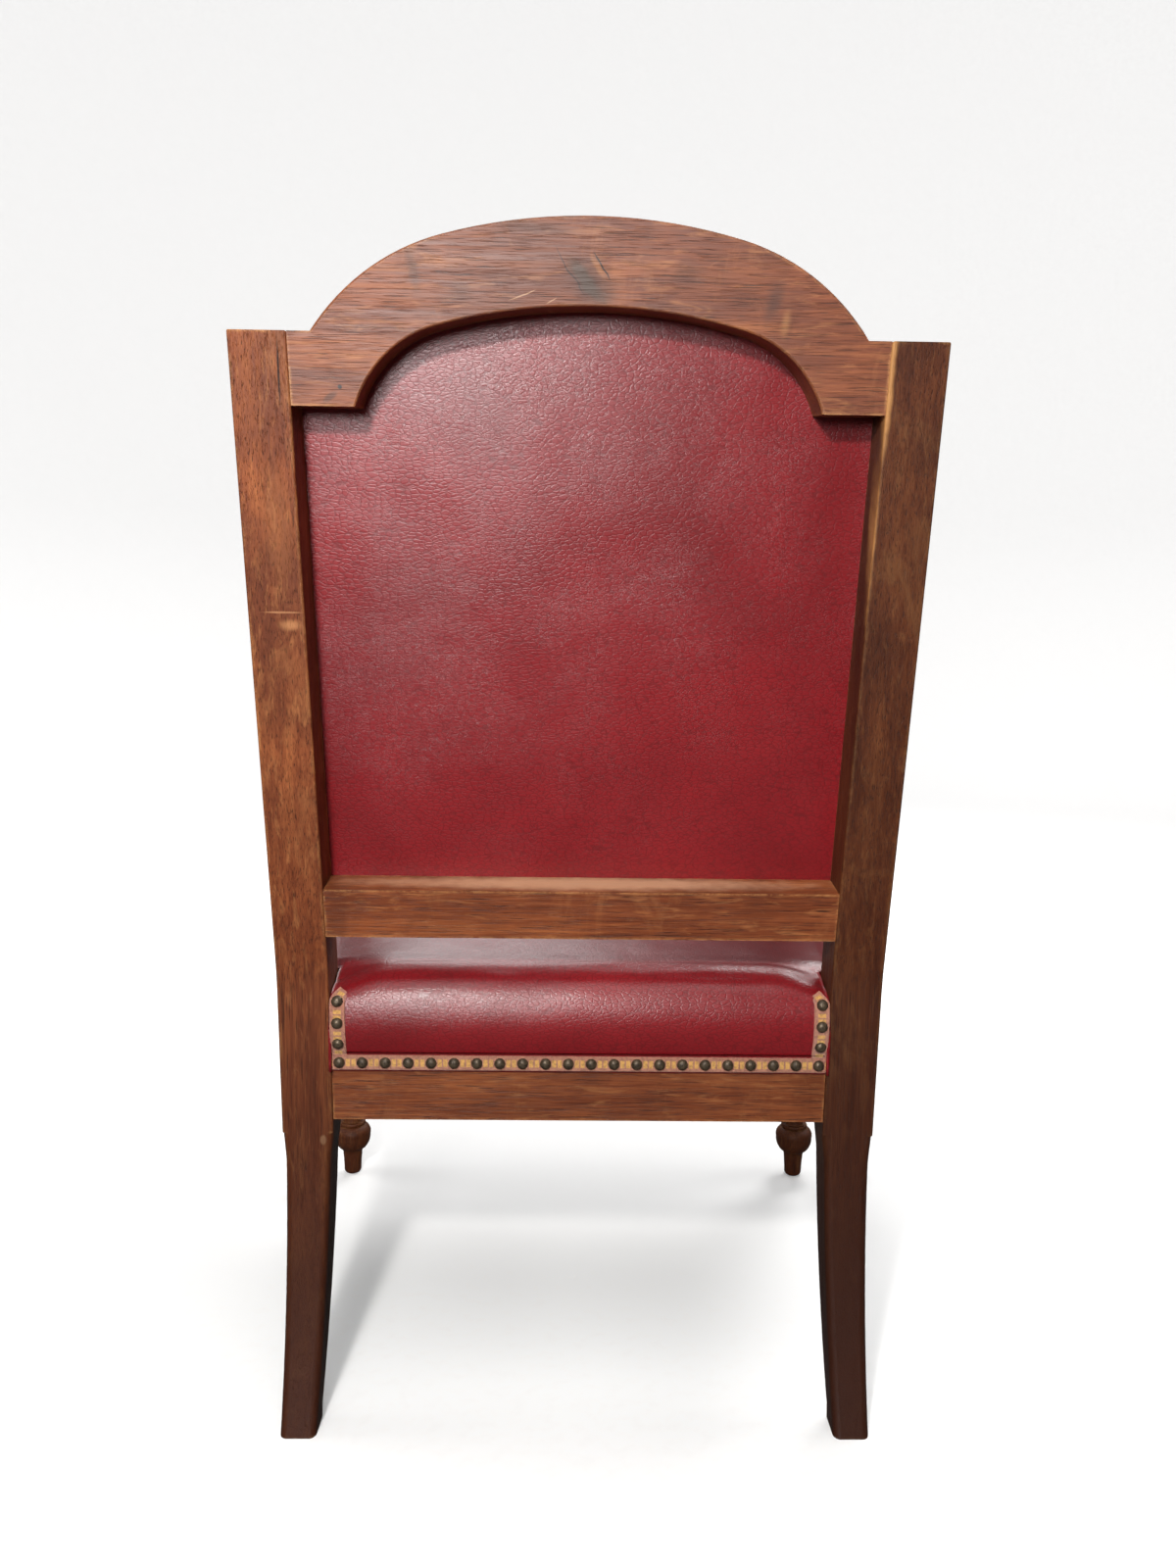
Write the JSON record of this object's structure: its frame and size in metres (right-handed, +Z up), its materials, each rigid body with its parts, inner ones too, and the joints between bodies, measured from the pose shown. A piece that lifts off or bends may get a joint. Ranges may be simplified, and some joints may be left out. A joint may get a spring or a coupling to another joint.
{
  "type": "hall porter chair",
  "caption": "Upholstered high-backed wooden armchair with an arched crest rail, a sprung leather seat, a leather back, turned front legs and raked rear legs.",
  "frame": {"origin": "on the floor, at the middle of the bounding box", "axes": "+Z up, the sitter looks along -Y, +X is the sitter's left"},
  "size_m": [0.695, 0.6587, 1.119],
  "materials": {
    "stained_oak": "satin",
    "raw_beech": "matte",
    "red_leather": "glossy",
    "braid": "matte",
    "nail_bronze": "antique",
    "screw_steel": "satin",
    "spring_steel": "satin",
    "jute": "matte",
    "hessian": "matte",
    "hair": "matte",
    "black_cloth": "matte"
  },
  "bodies": {
    "root": {"rear_post_left": "stained_oak", "rear_post_right": "stained_oak", "crest_rail": "stained_oak", "lower_back_rail": "stained_oak", "rear_seat_rail": "stained_oak", "front_seat_rail": "stained_oak", "side_seat_rail_left": "stained_oak", "side_seat_rail_right": "stained_oak", "front_leg_left": "stained_oak", "front_leg_right": "stained_oak", "armrest_left": "stained_oak", "armrest_right": "stained_oak", "corner_block_rear_left": "raw_beech", "corner_block_rear_right": "raw_beech", "corner_block_front_left": "raw_beech", "corner_block_front_right": "raw_beech", "seat_cover": "red_leather", "outer_back_panel": "red_leather", "inner_back_cover": "red_leather", "seat_braid_rear": "braid", "seat_braid_front": "braid", "seat_braid_left": "braid", "seat_braid_right": "braid", "seat_braid_riser_left": "braid", "seat_braid_riser_right": "braid", "back_braid": "braid", "seat_nails_rear": "nail_bronze", "seat_nails_front": "nail_bronze", "seat_nails_left": "nail_bronze", "seat_nails_right": "nail_bronze", "seat_nails_risers": "nail_bronze", "back_nails": "nail_bronze", "corner_block_screws": "screw_steel", "seat_webbing": "jute", "back_webbing": "jute", "seat_springs": "spring_steel", "spring_canvas": "hessian", "back_canvas": "hessian", "seat_stuffing": "hair", "back_stuffing": "hair", "bottom_cloth": "black_cloth"}
  },
  "joints": []
}
